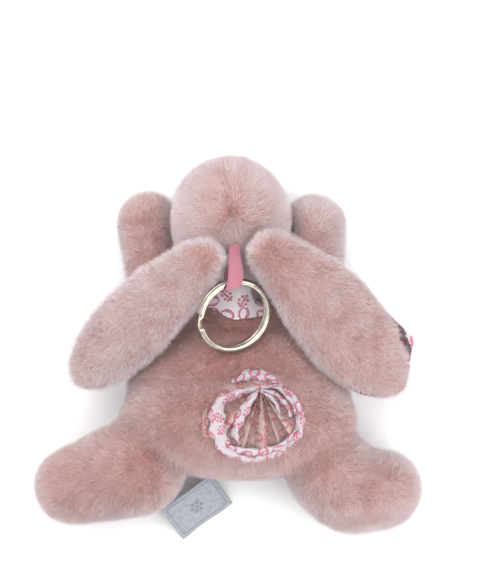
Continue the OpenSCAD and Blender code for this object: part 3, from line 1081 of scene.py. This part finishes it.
def ear_shape(seed, root, fuller=None):
    """The ear is gathered but full where it is sewn to the head."""
    def shape(co, no):
        near = smoothstep(24 * MM, 6 * MM, np.linalg.norm(co - root, axis=1))
        if fuller is not None:
            at, out, reach, amount = fuller
            rel = co - at
            aside = rel @ out
            lengthwise = np.linalg.norm(rel[:, :2] - aside[:, None] * out[:2], axis=1)
            swell = amount * smoothstep(-4 * MM, 12 * MM, aside) * np.exp(-((lengthwise / reach) ** 2))
            co = co + out * swell[:, None]
        return lumpy(co + no * (near * 1.0 * MM)[:, None], no, 12 * MM, 0.4 * MM, seed)
    return shape


def head_shape(co, no):
    """The centre seam dips from the top notch down to the ribbon."""
    top = smoothstep(20 * MM, 34 * MM, co[:, 2])
    x = co[:, 0] - (1.0 - 2.7 * smoothstep(55, 76, co[:, 1] / MM)) * MM
    co = groove(co, no, x + 20 * MM * (1 - top), 1.5 * MM, 0.7 * MM)
    return lumpy(co, no, 12 * MM, 0.35 * MM, 2)


def head_skin():
    skin = form("head_skin", [], [("head_left_panel", "head_right_panel")], relax=8, offset=-1.7 * MM)
    finished_skin(skin, head_shape)
    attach(skin, "torso")
    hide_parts("head_left_panel", "head_right_panel", "head_stuffing")
    return skin


def ear_skin(ear, seed, fuller=None):
    nodes = [ear + "_fur", ear + "_wadding", ear + "_lining"]
    skin = form(ear + "_skin", nodes, relax=5, offset=-0.9 * MM)
    finished_skin(skin, ear_shape(seed, EAR_ROOTS[ear], fuller))
    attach(skin, ear)
    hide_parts(*nodes)
    return skin


def arm_skin(arm, seed):
    skin = form(arm + "_skin", [], [(arm + "_cover",)], relax=8, offset=-1.7 * MM)
    finished_skin(skin, limb_shape(seed))
    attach(skin, arm)
    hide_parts(arm + "_cover", arm + "_stuffing")
    return skin


def body_and_leg_skins():
    """The body runs into the legs with no step, so all three are cut from one surface."""
    nodes = BODY_NODES + LEG_NODES["right_leg"]
    whole = form("whole", nodes, [("left_leg_cover",)], voxel=1.2 * MM, relax=26, offset=-1.6 * MM)
    set_coords(whole, lumpy(coords(whole), normals(whole), 15 * MM, 0.4 * MM, 1))
    body_tree = tree_of(BODY_NODES[:2])
    near = {}
    for leg, leg_nodes in LEG_NODES.items():
        tree = tree_of(leg_nodes[:1])
        near[leg] = np.array([
            tree.find_nearest(f.center)[3] < body_tree.find_nearest(f.center)[3] for f in whole.data.polygons
        ])
    pieces = {"body": ~(near["left_leg"] | near["right_leg"]), **near}
    made = {}
    for name, faces in pieces.items():
        made[name] = part_of(whole, name + "_skin", faces)
        finished_skin(made[name], lambda co, no: co)
        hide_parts(*LEG_NODES.get(name, BODY_NODES))
    bpy.data.objects.remove(whole)
    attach(made["body"], "torso")
    return made


def follow_leg(obj, leg, leg_skin):
    """Bakes a leg's cloth in place; the seam where it meets the body is found but not used."""
    hip, foot = HIPS[leg]
    out = unit(foot - hip)
    seam = (open_edge(leg_skin) @ out).max()
    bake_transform(obj)


# ---------------------------------------------------------------- where the fur grows, and how
CROWN = vec(2.8, 42, 51)  # the tuft over the seam where the ribbon is sewn in
# Where the printed lining shows past the fur's edge: ear, place, reach, how far up it turns
PEEKS = (
    ("right_ear", vec(69, 3, 0), 6.5 * MM, 1.25),
    ("right_ear", vec(56, -17.5, 0), 8 * MM, 0.5),
)
PUFF = (vec(69, 3, 0), unit([0.85, 0.2, 0.1]), 6 * MM, 3.4 * MM)  # place, direction, reach and height


def bald_near(nodes, reach):
    """Fibre length drops to nearly nothing at the named small nodes and is full a reach away."""
    boxes = [tuple(np.array(corner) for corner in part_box(n)) for n in nodes]
    spots = [((lo + hi) / 2, max(hi - lo) / 2) for lo, hi in boxes]

    def trim(p):
        out = np.ones(len(p))
        for c, r in spots:
            out = np.minimum(out, smoothstep(r * 0.6, r + reach, np.linalg.norm(p - c, axis=1)))
        return np.maximum(out, 0.12)

    return trim


def head_length(p):
    """Short round the face's stitching, long in the tuft at the crown."""
    tuft = 1 + 1.0 * np.exp(-((np.linalg.norm(p - CROWN, axis=1) / (7 * MM)) ** 2))
    return bald_near(("left_eye", "right_eye", "nose"), 2.5 * MM)(p) * tuft


def lining_edge(ear, p):
    """The steepest upward normal at which the ear's surface is still lining."""
    root = np.linalg.norm(p - EAR_ROOTS[ear], axis=1)
    edge = -0.4 - 1.5 * smoothstep(26 * MM, 14 * MM, root)
    for name, at, reach, lift in PEEKS:
        if name == ear:
            edge += lift * np.exp(-(((p[:, :2] - at[:2]) ** 2).sum(1) / reach ** 2))
    return edge


def over_lining(ear):
    return lambda p, q: (q[:, 2] > lining_edge(ear, p)).astype(float)


def clear_of_collar(p, q):
    """No fibres under the collar."""
    x, y = p[:, 0] / MM, p[:, 1] / MM
    covered = (np.abs(x - 5) < 18.5) & (y > collar_edge(x) + 0.8) & (q[:, 2] > 0)
    return (~covered).astype(float)


def along_ear(ear, *d):
    """Down the ear, but upright round its gathered root."""
    d = unit(d)
    root = EAR_ROOTS[ear]
    return lambda p: d * smoothstep(4 * MM, 22 * MM, np.linalg.norm(p - root, axis=1))[:, None]


def head_comb(p):
    """The head's fur parts at the centre seam."""
    side = np.tanh((p[:, 0] - 1 * MM) / (7 * MM))
    away = np.stack([side, np.full(len(p), 0.35), np.full(len(p), -0.2)], 1)
    crown = np.exp(-((np.linalg.norm(p - CROWN, axis=1) / (8 * MM)) ** 2))[:, None]
    return away * (1 - crown) + np.array([0.1, -2.6, 0.3]) * crown


def body_tone_and_shade(p):
    """Deeper rose on the middle of the back, round the ring and above the tail; round the ring this is partly
    painted shade from the ears and the ring overhead.
    """
    x, y = p[:, 0] / MM - 4, p[:, 1] / MM + 2
    low = smoothstep(-20, -40, p[:, 1] / MM)
    # The dip round the ring is partly painted shade of the ears and ring above it.
    return -0.08 - 0.12 * low - 0.3 * np.exp(-((x / 24) ** 2) - (y / 17) ** 2)


COMBS = {
    "body": away_from(4, 30, 10),
    "head": head_comb,
    "left_ear": along_ear("left_ear", -0.8, -0.6, -0.3),
    "right_ear": along_ear("right_ear", 0.8, -0.6, -0.3),
    "left_arm": towards(-0.2, 1, 0),
    "right_arm": towards(0.2, 1, 0),
    "left_leg": towards(-1, -0.3, 0),
    "right_leg": towards(0.9, -0.5, 0),
}
KEEP = {"left_ear": over_lining("left_ear"), "right_ear": over_lining("right_ear")}
# How much paler (above 0) or deeper each part's fur is than the rest. The differences between left and right
# parts are painted light and shade, for how each side is lit.
PART_TONE_AND_SHADE = {
    "head": 0.04, "left_ear": 0.1, "right_ear": 0.0, "left_arm": -0.08,
    "right_arm": 0.14, "left_leg": -0.14, "right_leg": -0.03,
}
MIDDLE = 4 * MM
HALVES = {"body_left": lambda p: p[:, 0] < MIDDLE, "body_right": lambda p: p[:, 0] >= MIDDLE}
FIRST_SEED = 20


def body_fur(skin):
    """The body's fur in two pieces, to keep each within the export's limit of faces."""
    for k, (half, inside) in enumerate(HALVES.items()):
        piece = fur(
            half + "_plush", skin, COMBS["body"], seed=FIRST_SEED + k, tone=body_tone_and_shade,
            keep=lambda p, q, inside=inside: clear_of_collar(p, q) * inside(p),
        )
        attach(piece, "torso")


def part_fur(name, skin, seed):
    piece = fur(
        name + "_plush", skin, COMBS[name], seed=seed, keep=KEEP.get(name),
        trim=head_length if name == "head" else None, tone=lambda p: PART_TONE_AND_SHADE[name],
    )
    if name in LEG_NODES:
        follow_leg(skin, name, skin)
        follow_leg(piece, name, skin)
    else:
        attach(piece, "torso" if name == "head" else name)


def stitched_face():
    """Generic embroidered eyes and nose, on the CAD's own nodes."""
    eye = (srgb(14, 10, 12), srgb(40, 30, 32))
    nose = (srgb(150, 80, 92), srgb(196, 124, 134))
    for node, colours in (("left_eye", eye), ("right_eye", eye), ("nose", nose)):
        mesh = NODES[node].data
        mesh.materials.clear()
        mesh.materials.append(thread_material(node + "_thread", *colours))


# ---------------------------------------------------------------- build
GROUND = backing_material()
FIBRES = fibre_materials()
PRINT = print_material()
# The collar's copy of the printed cotton is lighter: painted light, lifting it out of the shade of the ears
# and the ring.
PRINT_PAINTED_LIGHTER = print_material("printed_cotton_collar_painted_lighter", srgb(228, 222, 227))
PRINT_CREAM = print_material("printed_cotton_inside", srgb(192, 170, 162))

camera()
studio()
skins = {
    "head": head_skin(),
    "left_ear": ear_skin("left_ear", 3),
    "right_ear": ear_skin("right_ear", 4, FULLER),
    "left_arm": arm_skin("left_arm", 5),
    "right_arm": arm_skin("right_arm", 6),
    **body_and_leg_skins(),
}
body_fur(skins["body"])
for k, name in enumerate(n for n in skins if n != "body"):
    part_fur(name, skins[name], FIRST_SEED + len(HALVES) + k)

split_ring()
ribbon()
label()
collar(skins["body"])
rosette(skins["body"])
for ear in EAR_ROOTS:
    lining(ear, skins[ear])
stitched_face()
